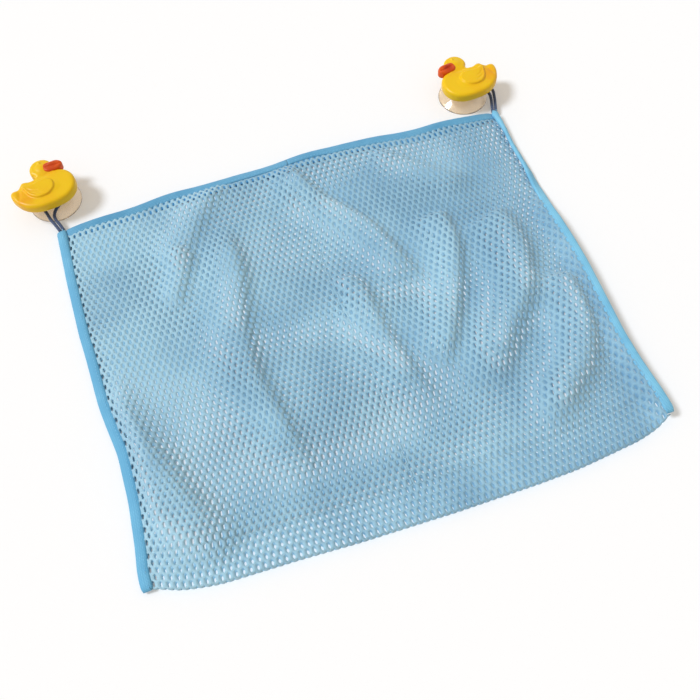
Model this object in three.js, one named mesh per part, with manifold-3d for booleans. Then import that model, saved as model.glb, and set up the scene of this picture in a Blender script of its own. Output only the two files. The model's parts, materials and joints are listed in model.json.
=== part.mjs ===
// A mesh bag for bath toys, laid flat, with two duck suction cups on cord loops.
// Millimetres, +Z up. +Y points out of the bag's mouth, and the ducks lie beyond it.
import * as THREE from 'three';
import { mergeVertices } from 'three/addons/utils/BufferGeometryUtils.js';
import Module from 'manifold-3d';

const wasm = await Module();
wasm.setup();

// The gap kept between pieces that touch on the real object.
const clearance = 0.3;
// How far a cutting tool reaches past the face that it opens.
const overcut = 1;

// The bag: a net folded double at the bottom, hemmed at the mouth and bound at the sides.
const bagWidth = 450;
const bagHeight = 350;
const bagThickness = 12;
const netThickness = 1;
const netCellsAcross = 12;
const netCellsAlong = 9;
const netKnot = 4.2;
const foldDepth = 9;
const bagSag = 22;
const bindingWidth = 9.5;
const bindingTape = 1.2;
const bindingGrip = 3.5;
const hemDepth = 9.5;
const hemTape = 0.5;
const hemGrip = 4;

// Soft folds that stand on the front net, each with a height and a half width. Its line is in
// shares of the bag's width and height.
const foldMargin = 60;
const folds = [
  { height: 8, halfWidth: 15, line: [[-0.167, 0.366], [-0.204, 0.1], [-0.211, -0.07], [-0.178, -0.19]] },
  { height: 6, halfWidth: 15, line: [[0, 0.4], [0.018, 0.32], [0.076, 0.25], [0.13, 0.157], [0.156, 0.06]] },
  { height: 6, halfWidth: 13, line: [[0.022, 0.103], [0.031, -0.063], [0.062, -0.177], [0.1, -0.263]] },
  { height: 6, halfWidth: 13, line: [[0.222, 0.114], [0.233, 0.011], [0.2, -0.07], [0.151, -0.166]] },
  { height: 7, halfWidth: 15, line: [[0.369, 0.074], [0.351, -0.034], [0.324, -0.1], [0.231, -0.217]] },
  { height: 6, halfWidth: 15, line: [[-0.422, -0.086], [-0.409, -0.17], [-0.364, -0.27], [-0.32, -0.38]] },
];

// The cord loop at each upper corner. Its two ends are sewn into the end of the binding.
const cordDiameter = 3;
const cordHeight = 5.5;
const cordSteps = 36;
const cordSides = 8;

// The suction cup: a dome with a flat lip, a neck for the loop and a mushroom stem.
const cupRadius = 25;
const cupLip = 1.8;
const cupRim = 0.9;
const cupHeight = 10;
const cupWall = 2.6;
const neckRadius = 5;
const neckHeight = 5.5;
const stemRadius = 3;
const stemLength = 5;
const headRadius = 4.6;
const headHeight = 3.4;
const cupSides = 24;

// The duck that snaps on the stem. Its outlines are drawn about the stem, facing +X, on a grid
// of so many units from tail to breast.
const duckLength = 60;
const duckGrid = 60;
const duckThickness = 12.5;
const duckRound = 3;
const wingRise = 1.2;
const wingRound = 0.8;
const beakThickness = 10;
const beakRise = 1;
const beakRound = 2;

// Where each loop leaves the bag's corner, its cord's route from there, and where its cup lies.
const leftSide = {
  name: 'left',
  side: -1,
  rootInset: 2,
  cup: [-0.2, 41.7],
  turn: THREE.MathUtils.degToRad(10),
  cord: [
    [1.7, 0, 5.5], [-0.9, 8, 6.4], [-3.6, 15.5, 7.4], [-2.2, 22, 8.4], [3.3, 27.5, 10],
    [9.5, 33, 10.8], [12.8, 40.5, 10.8], [11.2, 48.5, 10.7], [5.5, 54.2, 10.6], [-2.2, 55.2, 10.6],
    [-9.5, 51.5, 10.6], [-13.4, 44.5, 10.6], [-13.6, 36.5, 10.3], [-11.8, 29, 9.2],
    [-9.6, 22, 8.3], [-7.8, 15.5, 7.4], [-4.7, 8, 6.4], [-1.7, 0, 5.5],
  ],
};
const rightSide = {
  name: 'right',
  side: 1,
  rootInset: 8,
  cup: [-19.8, 34.7],
  turn: THREE.MathUtils.degToRad(5),
  cord: [
    [1.7, 0, 5.5], [4.8, 9, 6.2], [7.6, 18, 6.8], [9.2, 27.2, 7.2], [6.2, 35.7, 7.5], [-1.5, 41, 8.3],
    [-10, 43.3, 10.8], [-18.5, 44.5, 11.6], [-27, 41.8, 11.6], [-30, 34.5, 11.6], [-27, 27.3, 11.6],
    [-19.5, 24.8, 11.6], [-12.5, 26.7, 11.2], [-7, 29.3, 9.8], [-1.8, 30, 8.3], [2.6, 27.5, 7.5],
    [4.2, 22.2, 7.1], [3.2, 16, 6.7], [0.9, 8.5, 6.2], [-1.7, 0, 5.5],
  ],
};

// Levels and edges that follow from the sizes above.
const backNetLow = bindingTape + clearance;
const frontNetLow = bagThickness - netThickness;
const hemHeight = netThickness + 2 * (clearance + hemTape);
const hemDrop = clearance + hemTape;
const cornerSeam = hemDepth - hemGrip - clearance;
const innerWidth = bagWidth - 2 * (bindingWidth + clearance);
const backNetWidth = bagWidth - 2 * (bindingWidth - bindingGrip);
const netTop = bagHeight / 2 - hemDepth + hemGrip;
const netBottom = foldDepth + clearance - bagHeight / 2;
const loopRootY = (bagHeight + cordDiameter) / 2 + clearance;
const neckTop = cupHeight + neckHeight;
const stemTop = neckTop + stemLength;
const headTop = stemTop + headHeight;
const duckBack = neckTop + clearance;
const foldRound = 0.45 * (bagThickness - backNetLow);
const bagSize = new THREE.Vector3(bagWidth, bagHeight, 0);

const netBlue = new THREE.MeshStandardMaterial({ color: 0x8fbedb, roughness: 0.85, metalness: 0 });
const tapeBlue = new THREE.MeshStandardMaterial({ color: 0x4fa3d6, roughness: 0.8, metalness: 0 });
const cordNavy = new THREE.MeshStandardMaterial({ color: 0x2c3a58, roughness: 0.8, metalness: 0 });
const clearPvc = new THREE.MeshStandardMaterial({ color: 0xefe6cf, roughness: 0.12, metalness: 0 });
const duckYellow = new THREE.MeshStandardMaterial({ color: 0xf0c11a, roughness: 0.4, metalness: 0 });
const beakOrange = new THREE.MeshStandardMaterial({ color: 0xdc4a14, roughness: 0.4, metalness: 0 });

// A closed geometry as a solid that can be joined and cut, and the way back.
function solidOf(geometry) {
  const bare = geometry.clone();
  bare.deleteAttribute('normal');
  bare.deleteAttribute('uv');
  const merged = mergeVertices(bare, 1e-4);
  const mesh = new wasm.Mesh({
    numProp: 3,
    vertProperties: new Float32Array(merged.attributes.position.array),
    triVerts: new Uint32Array(merged.index.array),
  });
  return new wasm.Manifold(mesh);
}

function geometryOf(solid) {
  const mesh = solid.getMesh();
  const geometry = new THREE.BufferGeometry();
  geometry.setAttribute('position', new THREE.BufferAttribute(mesh.vertProperties, 3));
  geometry.setIndex(new THREE.BufferAttribute(mesh.triVerts, 1));
  geometry.computeVertexNormals();
  return geometry;
}

function addPart(group, name, geometry, material) {
  const mesh = new THREE.Mesh(geometry, material);
  mesh.name = name;
  group.add(mesh);
  return mesh;
}

// The section of an edge strip: flat on the inner side, half round on the outer side.
function stripSection(inner, width, height, inset) {
  const section = new THREE.Shape();
  section.moveTo(inner, height - inset);
  section.lineTo(inner, inset);
  section.absarc(width - height / 2, height / 2, height / 2 - inset, -Math.PI / 2, Math.PI / 2);
  section.closePath();
  return section;
}

function stripBar(section, length) {
  const bar = new THREE.ExtrudeGeometry(section, { depth: length, bevelEnabled: false, curveSegments: 8 });
  bar.rotateX(Math.PI / 2);
  bar.translate(0, length / 2, 0);
  return solidOf(bar);
}

// A tape folded lengthwise into a channel that opens inward. closedEnd is the length sewn shut
// at each end of it.
function foldedStrip(width, height, wall, length, closedEnd) {
  const bar = stripBar(stripSection(0, width, height, 0), length);
  const hollowLength = closedEnd > 0 ? length - 2 * closedEnd : length + 2 * overcut;
  const hollow = stripBar(stripSection(-overcut, width, height, wall), hollowLength);
  return geometryOf(bar.subtract(hollow));
}

// An outline as a plate from level low to level high, with its edges rounded. The plate can
// be grown all round, which leaves a gap to what is cut with it.
function roundedPlate(outline, low, high, round, grown) {
  const plate = new THREE.ExtrudeGeometry(outline, {
    depth: high - low - 2 * round,
    bevelThickness: round + grown,
    bevelSize: round + grown,
    bevelOffset: -round,
    bevelSegments: 3,
    curveSegments: 6,
  });
  plate.translate(0, 0, low + round);
  return solidOf(plate);
}

// The bottom of the bag, where the net turns round. It hangs lower than the bound corners.
function foldGeometry() {
  const half = bagWidth / 2;
  const corner = -bagHeight / 2;
  const bottom = corner - bagSag;
  const outline = new THREE.Shape();
  outline.moveTo(-half, 0);
  outline.lineTo(-half, corner);
  outline.bezierCurveTo(-0.9 * half, bottom, -0.6 * half, bottom, 0, bottom);
  outline.bezierCurveTo(0.6 * half, bottom, 0.9 * half, bottom, half, corner);
  outline.lineTo(half, 0);
  outline.closePath();
  const outside = roundedPlate(outline, backNetLow, bagThickness, foldRound, 0);
  const inside = roundedPlate(outline, backNetLow, bagThickness, foldRound, -netThickness);
  const reach = new THREE.BoxGeometry(innerWidth, bagHeight, 2 * bagThickness);
  reach.translate(0, corner + foldDepth - bagHeight / 2, bagThickness);
  return geometryOf(outside.subtract(inside).intersect(solidOf(reach)));
}

function foldLift(x, y, width) {
  const fromEdge = Math.min(width / 2 - Math.abs(x), netTop - y, y - netBottom);
  const fade = THREE.MathUtils.smoothstep(fromEdge, foldMargin / 3, foldMargin);
  const here = new THREE.Vector3(x, y, 0);
  const nearest = new THREE.Vector3();
  const segment = new THREE.Line3();
  let lift = 0;
  for (const fold of folds) {
    let distance = Infinity;
    for (let n = 1; n < fold.line.length; n++) {
      segment.start.set(...fold.line[n - 1], 0).multiply(bagSize);
      segment.end.set(...fold.line[n], 0).multiply(bagSize);
      segment.closestPointToPoint(here, true, nearest);
      distance = Math.min(distance, here.distanceTo(nearest));
    }
    lift = Math.max(lift, fold.height * Math.exp(-((distance / fold.halfWidth) ** 2)));
  }
  return fade * lift;
}

// A panel of net: diamond gaps in staggered rows, with a closed edge that the tapes take.
function netPanel(width, folded) {
  const left = -width / 2;
  const outline = new THREE.Shape();
  outline.moveTo(left, netBottom);
  outline.lineTo(-left, netBottom);
  outline.lineTo(-left, netTop);
  outline.lineTo(left, netTop);
  outline.closePath();
  const stepX = width / (2 * netCellsAcross);
  const stepY = (netTop - netBottom) / (2 * netCellsAlong);
  for (let i = 1; i < 2 * netCellsAcross; i++) {
    for (let j = 1 + (i % 2); j < 2 * netCellsAlong; j += 2) {
      const x = left + i * stepX;
      const y = netBottom + j * stepY;
      const gap = new THREE.Path();
      gap.moveTo(x - stepX + netKnot, y);
      gap.lineTo(x, y - stepY + netKnot);
      gap.lineTo(x + stepX - netKnot, y);
      gap.lineTo(x, y + stepY - netKnot);
      gap.closePath();
      outline.holes.push(gap);
    }
  }
  const panel = new THREE.ExtrudeGeometry(outline, { depth: netThickness, bevelEnabled: false });
  if (folded) {
    const points = panel.attributes.position;
    for (let n = 0; n < points.count; n++) {
      points.setZ(n, points.getZ(n) + foldLift(points.getX(n), points.getY(n), width));
    }
  }
  return panel;
}

function buildBag() {
  const bag = new THREE.Group();
  const binding = foldedStrip(bindingWidth, bagThickness, bindingTape, bagHeight, cornerSeam);
  const innerEdge = bagWidth / 2 - bindingWidth;
  const right = addPart(bag, 'right_binding', binding, tapeBlue);
  right.position.x = innerEdge;
  const left = addPart(bag, 'left_binding', binding, tapeBlue);
  left.position.x = -innerEdge;
  left.rotation.z = Math.PI;

  const hem = foldedStrip(hemDepth, hemHeight, hemTape, innerWidth, 0);
  const hemLevels = { back_hem: backNetLow - hemDrop, front_hem: frontNetLow - hemDrop };
  for (const [name, level] of Object.entries(hemLevels)) {
    const tape = addPart(bag, name, hem, tapeBlue);
    tape.rotation.z = Math.PI / 2;
    tape.position.set(0, bagHeight / 2 - hemDepth, level);
  }

  addPart(bag, 'net_fold', foldGeometry(), netBlue);
  addPart(bag, 'back_net', netPanel(backNetWidth, false), netBlue).position.z = backNetLow;
  addPart(bag, 'front_net', netPanel(innerWidth, true), netBlue).position.z = frontNetLow;
  return bag;
}

// The loop is one length of cord, with round ends where it leaves the seam.
function loopGeometry(points) {
  const route = new THREE.CatmullRomCurve3(points.map((point) => new THREE.Vector3(...point)));
  const section = new THREE.Shape();
  for (let n = 0; n < cordSides; n++) {
    const angle = (2 * Math.PI * n) / cordSides;
    const x = (cordDiameter / 2) * Math.cos(angle);
    const y = (cordDiameter / 2) * Math.sin(angle);
    if (n === 0) section.moveTo(x, y);
    else section.lineTo(x, y);
  }
  section.closePath();
  const tube = new THREE.ExtrudeGeometry(section, { steps: cordSteps, extrudePath: route });
  let cord = solidOf(tube);
  for (const end of [route.points[0], route.points[route.points.length - 1]]) {
    const ball = new THREE.SphereGeometry(cordDiameter / 2, cordSides, cordSides / 2);
    ball.translate(end.x, end.y, end.z);
    cord = cord.add(solidOf(ball));
  }
  return geometryOf(cord);
}

function revolve(profile, sides) {
  const turned = new THREE.LatheGeometry(profile.getPoints(6), sides);
  turned.rotateX(Math.PI / 2);
  return turned;
}

function cupGeometry() {
  const profile = new THREE.Path();
  const inside = cupHeight - cupWall;
  const lipInside = cupRadius - cupLip;
  profile.moveTo(0, inside);
  profile.bezierCurveTo(0.48 * lipInside, inside, 0.82 * lipInside, inside / 2, lipInside, 0);
  profile.lineTo(cupRadius, 0);
  profile.lineTo(cupRadius, cupRim);
  const dome = [0.82 * cupRadius, 0.42 * cupHeight, 0.55 * cupRadius, cupHeight];
  profile.bezierCurveTo(...dome, neckRadius, cupHeight);
  profile.lineTo(neckRadius, neckTop);
  profile.lineTo(stemRadius, neckTop);
  profile.lineTo(stemRadius, stemTop);
  profile.lineTo(headRadius, stemTop);
  profile.bezierCurveTo(headRadius, headTop, 0.5 * headRadius, headTop, 0, headTop);
  return revolve(profile, cupSides);
}

// The hole in the duck's back that the mushroom stem snaps into.
function stemSocket() {
  const profile = new THREE.Path();
  profile.moveTo(0, duckBack - overcut);
  profile.lineTo(stemRadius + clearance, duckBack - overcut);
  profile.lineTo(stemRadius + clearance, stemTop - clearance);
  profile.lineTo(headRadius + clearance, stemTop - clearance);
  profile.lineTo(headRadius + clearance, headTop + clearance);
  profile.lineTo(0, headTop + clearance);
  return solidOf(revolve(profile, cupSides));
}

function onDuckGrid(outline) {
  const points = outline.getPoints(6);
  return new THREE.Shape(points.map((point) => point.multiplyScalar(duckLength / duckGrid)));
}

function arcStart(arc) {
  return [arc.x + arc.radius * Math.cos(arc.from), arc.y + arc.radius * Math.sin(arc.from)];
}

function duckOutline() {
  const head = { x: 0.6, y: 21.3, radius: 11.3, from: 1.22 * Math.PI };
  const back = { x: -20.4, y: 9.6, radius: 4, from: 0.9 * Math.PI };
  const tail = { x: -31, y: 3.2, radius: 4.6, from: 1.05 * Math.PI };
  const outline = new THREE.Shape();
  outline.absarc(head.x, head.y, head.radius, head.from, -0.25 * Math.PI, true);
  outline.bezierCurveTo(15.5, 14.6, 25, 9.5, 25, -2.5);
  outline.bezierCurveTo(25, -13, 17.5, -22.4, 5, -22.9);
  outline.bezierCurveTo(-1.5, -23.3, -8, -23.2, -13.5, -22.2);
  outline.bezierCurveTo(-25, -20, -34, -11, ...arcStart(tail));
  outline.absarc(tail.x, tail.y, tail.radius, tail.from, 0.4 * Math.PI, true);
  outline.bezierCurveTo(-27.5, 6.8, -26, 8.3, ...arcStart(back));
  outline.absarc(back.x, back.y, back.radius, back.from, 0.35 * Math.PI, true);
  outline.bezierCurveTo(-15.5, 11.5, -11.5, 10.3, ...arcStart(head));
  return onDuckGrid(outline);
}

function wingOutline() {
  const outline = new THREE.Shape();
  outline.moveTo(5.5, -2);
  outline.bezierCurveTo(5.5, -9.5, -2, -14, -10, -13);
  outline.bezierCurveTo(-17, -12, -22.6, -4.5, -21.6, 8.6);
  outline.bezierCurveTo(-18, 3, -12, 4.6, -6, 5.6);
  outline.bezierCurveTo(1, 6.6, 5.5, 3.6, 5.5, -2);
  return onDuckGrid(outline);
}

function beakOutline() {
  const outline = new THREE.Shape();
  outline.moveTo(3.4, 22.8);
  outline.bezierCurveTo(9, 24.6, 13, 23.5, 17.6, 22.4);
  outline.bezierCurveTo(21.8, 21.4, 21.8, 14.2, 17.2, 13.2);
  outline.bezierCurveTo(13.5, 12.1, 8, 11.8, 3.4, 14.4);
  outline.bezierCurveTo(1.6, 16.8, 1.6, 20.4, 3.4, 22.8);
  return onDuckGrid(outline);
}

// The beak is a moulding of its own, set into a seat that is open at the front of the head.
function duckSolids() {
  const duckFront = duckBack + duckThickness;
  const beakFront = duckFront + beakRise;
  const beakBack = beakFront - beakThickness;
  const seatFront = beakFront + beakRound + overcut;
  const plate = roundedPlate(duckOutline(), duckBack, duckFront, duckRound, 0);
  const wing = roundedPlate(wingOutline(), duckFront - duckRound, duckFront + wingRise, wingRound, 0);
  const seat = roundedPlate(beakOutline(), beakBack, seatFront, beakRound, clearance);
  return {
    body: plate.add(wing).subtract(stemSocket()).subtract(seat),
    beak: roundedPlate(beakOutline(), beakBack, beakFront, beakRound, 0),
  };
}

function buildSide(place, cup, duck) {
  const side = new THREE.Group();
  side.position.set(place.side * (bagWidth / 2 - place.rootInset), loopRootY, 0);
  const loop = addPart(side, `${place.name}_loop`, loopGeometry(place.cord), cordNavy);
  loop.position.z = cordHeight - place.cord[0][2];
  const holder = new THREE.Group();
  holder.position.set(...place.cup, 0);
  holder.rotation.z = place.turn;
  side.add(holder);
  const facing = (solid) => (place.side > 0 ? solid.mirror([1, 0, 0]) : solid);
  addPart(holder, `${place.name}_cup`, cup, clearPvc);
  addPart(holder, `${place.name}_duck_body`, geometryOf(facing(duck.body)), duckYellow);
  addPart(holder, `${place.name}_beak`, geometryOf(facing(duck.beak)), beakOrange);
  return side;
}

const organizer = new THREE.Group();
const cup = cupGeometry();
const duck = duckSolids();
organizer.add(buildBag());
organizer.add(buildSide(leftSide, cup, duck));
organizer.add(buildSide(rightSide, cup, duck));

// The part stands on z = 0 with the middle of its box over the origin.
const box = new THREE.Box3().setFromObject(organizer, true);
const middle = box.getCenter(new THREE.Vector3());
organizer.position.set(-middle.x, -middle.y, -box.min.z);

export default organizer;
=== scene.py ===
# %% [markdown]
# # A mesh bag for bath toys, with two duck suction cups
#
# The bag is one length of knitted net, folded double and bound with tape. It lies flat, and a
# cord loop at each upper corner holds a clear suction cup that carries a moulded duck.
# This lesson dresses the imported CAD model: it loads the model, and builds each soft or moulded
# piece in the same place and in the same frame, in metres.

import json
import math

import bmesh
import bpy
import numpy as np
from mathutils import Matrix, Vector


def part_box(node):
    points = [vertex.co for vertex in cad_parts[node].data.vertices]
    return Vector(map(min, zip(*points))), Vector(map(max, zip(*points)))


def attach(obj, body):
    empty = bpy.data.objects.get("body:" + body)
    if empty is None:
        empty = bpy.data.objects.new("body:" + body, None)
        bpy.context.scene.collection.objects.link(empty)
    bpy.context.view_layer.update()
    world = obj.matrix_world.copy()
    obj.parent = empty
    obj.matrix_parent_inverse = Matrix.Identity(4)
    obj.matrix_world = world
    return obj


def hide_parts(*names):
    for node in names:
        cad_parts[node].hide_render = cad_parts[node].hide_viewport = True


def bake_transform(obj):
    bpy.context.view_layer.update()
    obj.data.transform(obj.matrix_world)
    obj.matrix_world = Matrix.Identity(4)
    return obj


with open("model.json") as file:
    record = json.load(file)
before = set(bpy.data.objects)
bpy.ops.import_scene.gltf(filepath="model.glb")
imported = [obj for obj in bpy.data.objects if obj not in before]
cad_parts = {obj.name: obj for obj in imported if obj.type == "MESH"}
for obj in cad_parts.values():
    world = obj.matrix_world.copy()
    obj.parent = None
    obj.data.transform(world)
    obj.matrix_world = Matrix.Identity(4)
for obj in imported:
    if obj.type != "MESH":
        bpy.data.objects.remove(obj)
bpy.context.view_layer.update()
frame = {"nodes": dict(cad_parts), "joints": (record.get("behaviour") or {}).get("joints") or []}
print("nodes:", ", ".join(frame["nodes"]))

# %% [markdown]
# ## Where things are
#
# Sizes are easier to read in millimetres, so every length is written that way and multiplied
# by MM. The bag was measured about its own middle. The two side bindings of the CAD model say
# where that middle lies in the frame, and the swivel joints say where the cups stand.

# %% The bag's middle and the cups' places
MM = 0.001
left_low, left_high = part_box("left_binding")
right_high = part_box("right_binding")[1]
bag_middle = Vector(((left_low.x + right_high.x) / 2, (left_low.y + left_high.y) / 2, 0))
joint_place = {joint["name"]: Vector(joint["pos_m"]) for joint in frame["joints"]}


def on_bag(x, y, z=0.0):
    """A point given in millimetres from the bag's middle, in the frame's metres."""
    return bag_middle + Vector((x, y, z)) * MM


print("bag's middle:", [round(c, 4) for c in bag_middle])

# %% [markdown]
# ## Camera
#
# The four corners of the bag fix where the photograph was taken from: about 62 degrees above
# the surface, in front of the bag and a little to its left, with a slightly long lens. A
# camera's matrix holds its right, up and back directions as columns, so it is set directly.

# %% Camera at the photograph's viewpoint
eye = on_bag(-111.48, -367.72, 661.05)
look = Vector((0.1381, 0.4504, -0.8821)).normalized()
across = Vector((0.9461, -0.3234, -0.0170)).normalized()
upward = across.cross(look).normalized()
camera_data = bpy.data.cameras.new("photo_camera")
camera_data.sensor_width = 36
camera_data.lens = 44.21
camera = bpy.data.objects.new("photo_camera", camera_data)
turned = Matrix((across, upward, -look)).transposed().to_4x4()
camera.matrix_world = Matrix.Translation(eye) @ turned
bpy.context.scene.collection.objects.link(camera)
bpy.context.scene.camera = camera
print("camera stands", round(eye.z, 3), "m above the floor")

# %% [markdown]
# ## Colours and nodes
#
# Colours are written as the sRGB hex values that a paint program shows. Shaders work in linear
# light, so one function converts them. Another feeds the sockets of a node with values and
# links, and a third adds a node and feeds it, which keeps every material a short list.


# %% Helpers for materials
def linear(code):
    """An sRGB hex colour as linear red, green, blue and alpha."""
    channels = [int(code[i : i + 2], 16) / 255 for i in (1, 3, 5)]
    return [c / 12.92 if c <= 0.04045 else ((c + 0.055) / 1.055) ** 2.4 for c in channels] + [1.0]


def feed(tree, node, inputs):
    """Give each named socket of a node its value, or the output socket that feeds it."""
    for socket, value in inputs.items():
        if isinstance(value, bpy.types.NodeSocket):
            tree.links.new(value, node.inputs[socket])
        else:
            node.inputs[socket].default_value = value


def add_node(tree, kind, inputs=None, **settings):
    """Add a node with its settings, and feed its sockets."""
    made = tree.nodes.new(kind)
    for name, value in settings.items():
        setattr(made, name, value)
    feed(tree, made, inputs or {})
    return made


def new_material(name):
    material = bpy.data.materials.new(name)
    material.use_nodes = True
    tree = material.node_tree
    return material, tree, tree.nodes["Principled BSDF"]


def per_mm(size):
    """The texture scale whose features are about so many millimetres across."""
    return 1 / (size * MM)


# %% [markdown]
# ## Net yarn
#
# The net is warp-knitted from polyester yarn, dyed light blue. Real yarn is a bundle of fine
# filaments, so it is matt with a soft sheen at grazing angles. A flat picture of net could be
# painted on a sheet, but real holes show the layer below, so the yarn is geometry and needs only
# a colour. That colour varies slowly along the cloth, and it is darker towards the right, which is
# painted shade where the light falls off. Light soaks into the yarn, so it gets subsurface
# scattering. The filaments are too fine to show, and their bump is drawn coarser.

# %% Knitted polyester net
# How much darker the yarn gets for each metre to the right: painted shade where the light falls
# off.
NET_PAINTED_SHADE = -0.7
net_yarn, tree, shader = new_material("knitted_polyester_net")
place = add_node(tree, "ShaderNodeTexCoord").outputs["Object"]
cloudy = add_node(tree, "ShaderNodeTexNoise", {"Vector": place, "Scale": per_mm(70), "Detail": 3.0})
aside = add_node(tree, "ShaderNodeSeparateXYZ", {"Vector": place}).outputs["X"]
across_cloth = {0: aside, 1: NET_PAINTED_SHADE, 2: cloudy.outputs["Fac"]}
tone_across = add_node(tree, "ShaderNodeMath", across_cloth, operation="MULTIPLY_ADD")
tint = add_node(tree, "ShaderNodeValToRGB", {"Fac": tone_across.outputs["Value"]})
deep, pale = tint.color_ramp.elements
deep.position, pale.position = 0.3, 0.7
deep.color, pale.color = linear("#87b2c9"), linear("#a5cdde")
filament = add_node(
    tree, "ShaderNodeTexNoise", {"Vector": place, "Scale": per_mm(0.7), "Detail": 2.0}
)
raised = {"Height": filament.outputs["Fac"], "Strength": 0.35, "Distance": 0.15 * MM}
fuzz = add_node(tree, "ShaderNodeBump", raised)
feed(tree, shader, {
    "Base Color": tint.outputs["Color"], "Normal": fuzz.outputs["Normal"], "Roughness": 0.78,
    "Sheen Weight": 0.25, "Sheen Roughness": 0.5, "Subsurface Weight": 0.3,
    "Subsurface Radius": (1.0, 1.0, 1.0), "Subsurface Scale": 1.2 * MM,
})
print("material:", net_yarn.name)

# %% [markdown]
# ## Binding tape
#
# The sides and the mouth are finished with woven polyester tape, a stronger blue than the net,
# and the hem of the mouth is the deeper of the two. Ribs of weft about a millimetre apart run
# across it. They could be modelled, but they are lower than a tenth of a millimetre, so they are
# drawn on the tape's own UV map, whose u runs along the tape, as a bump and as painted shade that
# darkens the grooves between them. Dust and handling make the colour a little uneven, and it is
# paler towards the right.

# %% Woven polyester tape
RIB = 1.1
TAPE_LENGTH = 350
TAPE_ROUND = 22
ONE_BAND = 0.314  # the scale at which a Wave texture has one band for each unit
RIGHT_END = 0.22  # metres from the middle of the frame to the right binding


def woven_tape(name, deep_blue, pale_blue, paler_to_right):
    """Tape between two blues. The last argument is how much paler it gets for each metre to the
    right.
    """
    material, tree, shader = new_material(name)
    cloth_uv = add_node(tree, "ShaderNodeTexCoord").outputs["UV"]
    ribs_along = (TAPE_LENGTH / RIB, TAPE_ROUND / RIB, 1.0)
    in_ribs = add_node(tree, "ShaderNodeMapping", {"Vector": cloth_uv, "Scale": ribs_along})
    stretched = in_ribs.outputs["Vector"]
    bands = {"Vector": stretched, "Scale": ONE_BAND}
    weft = add_node(tree, "ShaderNodeTexWave", {**bands, "Distortion": 0.6})
    warp = add_node(tree, "ShaderNodeTexWave", {**bands, "Distortion": 0.4}, bands_direction="Y")
    crossed = {"Factor": 0.35, "A": weft.outputs["Fac"], "B": warp.outputs["Fac"]}
    woven = add_node(tree, "ShaderNodeMix", crossed).outputs["Result"]
    place = add_node(tree, "ShaderNodeTexCoord").outputs["Object"]
    worn = add_node(
        tree, "ShaderNodeTexNoise", {"Vector": place, "Scale": per_mm(25), "Detail": 4.0}
    )
    # The weave darkens the colour between the ribs, which is painted shade, and the worn noise is
    # real dust.
    groove_shade_and_dust = {0: woven, 1: worn.outputs["Fac"]}
    shade = add_node(tree, "ShaderNodeMath", groove_shade_and_dust, operation="MULTIPLY")
    aside = add_node(tree, "ShaderNodeSeparateXYZ", {"Vector": place}).outputs["X"]
    across_bag = {0: aside, 1: paler_to_right, 2: shade.outputs["Value"]}
    tone_across = add_node(tree, "ShaderNodeMath", across_bag, operation="MULTIPLY_ADD")
    tint = add_node(tree, "ShaderNodeValToRGB", {"Fac": tone_across.outputs["Value"]})
    deep, pale = tint.color_ramp.elements
    deep.position, pale.position = 0.08 + RIGHT_END * paler_to_right, 0.42 + RIGHT_END * paler_to_right
    deep.color, pale.color = linear(deep_blue), linear(pale_blue)
    raised = {"Height": woven, "Strength": 0.5, "Distance": 0.2 * MM}
    ribs = add_node(tree, "ShaderNodeBump", raised)
    feed(tree, shader, {
        "Base Color": tint.outputs["Color"], "Normal": ribs.outputs["Normal"], "Roughness": 0.7,
        "Sheen Weight": 0.2,
    })
    print("material:", material.name)
    return material


binding_weave = woven_tape("woven_polyester_binding", "#5ea9d0", "#90d6f1", 0.6)
hem_weave = woven_tape("woven_polyester_hem", "#4f98c2", "#76b8da", 0.3)

# %% [markdown]
# ## Sewing thread
#
# The seams are lockstitched with a spun polyester thread in nearly the tape's colour. Its twist
# catches a little light, so it is slightly glossier than the tape. A stitch is only a few pixels
# long, so a noise of about the twist's size paints the strands' light and shade into the colour,
# and no bump is needed.

# %% Spun polyester thread
seam_thread, tree, shader = new_material("spun_polyester_thread")
place = add_node(tree, "ShaderNodeTexCoord").outputs["Object"]
# Noise of the twist's size: painted light and shade of the twisted strands.
painted_twist_shade = add_node(tree, "ShaderNodeTexNoise", {"Vector": place, "Scale": per_mm(0.8), "Detail": 1.0})
tint = add_node(tree, "ShaderNodeValToRGB", {"Fac": painted_twist_shade.outputs["Fac"]})
deep, pale = tint.color_ramp.elements
deep.color, pale.color = linear("#5fa9d2"), linear("#93d2ee")
feed(tree, shader, {"Base Color": tint.outputs["Color"], "Roughness": 0.5})
print("material:", seam_thread.name)

# %% [markdown]
# ## Elastic cord
#
# The loops are round elastic with a braided navy cover, matt with a soft sheen. The braid could
# be a bump, but a bump is lost at the cord's outline, so it is modelled as relief. Its height is
# kept as an attribute of the mesh, from which the shader paints shade into the grooves between the
# strands.

# %% Braided elastic cord
braid_cover, tree, shader = new_material("braided_elastic_cord")
# The braid's height darkens the colour in its grooves: painted shade.
braid_groove_shade = add_node(tree, "ShaderNodeAttribute", attribute_name="braid").outputs["Fac"]
tint = add_node(tree, "ShaderNodeValToRGB", {"Fac": braid_groove_shade})
deep, pale = tint.color_ramp.elements
deep.color, pale.color = linear("#1f2a40"), linear("#43557a")
feed(tree, shader, {"Base Color": tint.outputs["Color"], "Roughness": 0.72, "Sheen Weight": 0.3})
print("material:", braid_cover.name)

# %% [markdown]
# ## Cup and duck plastics
#
# Suction cups are moulded from clear plasticised PVC, which has a faint warm tint and an IOR
# near 1.53. The ducks are moulded from the same soft PVC, pigmented: light enters a little way
# before it comes back, so they get some subsurface scattering. A warmer blush, kept as an
# attribute, lies on the tail, low on the wing, next to the beak and in the middle of the beak, and
# a fine noise gives the satin mould finish.

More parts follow.
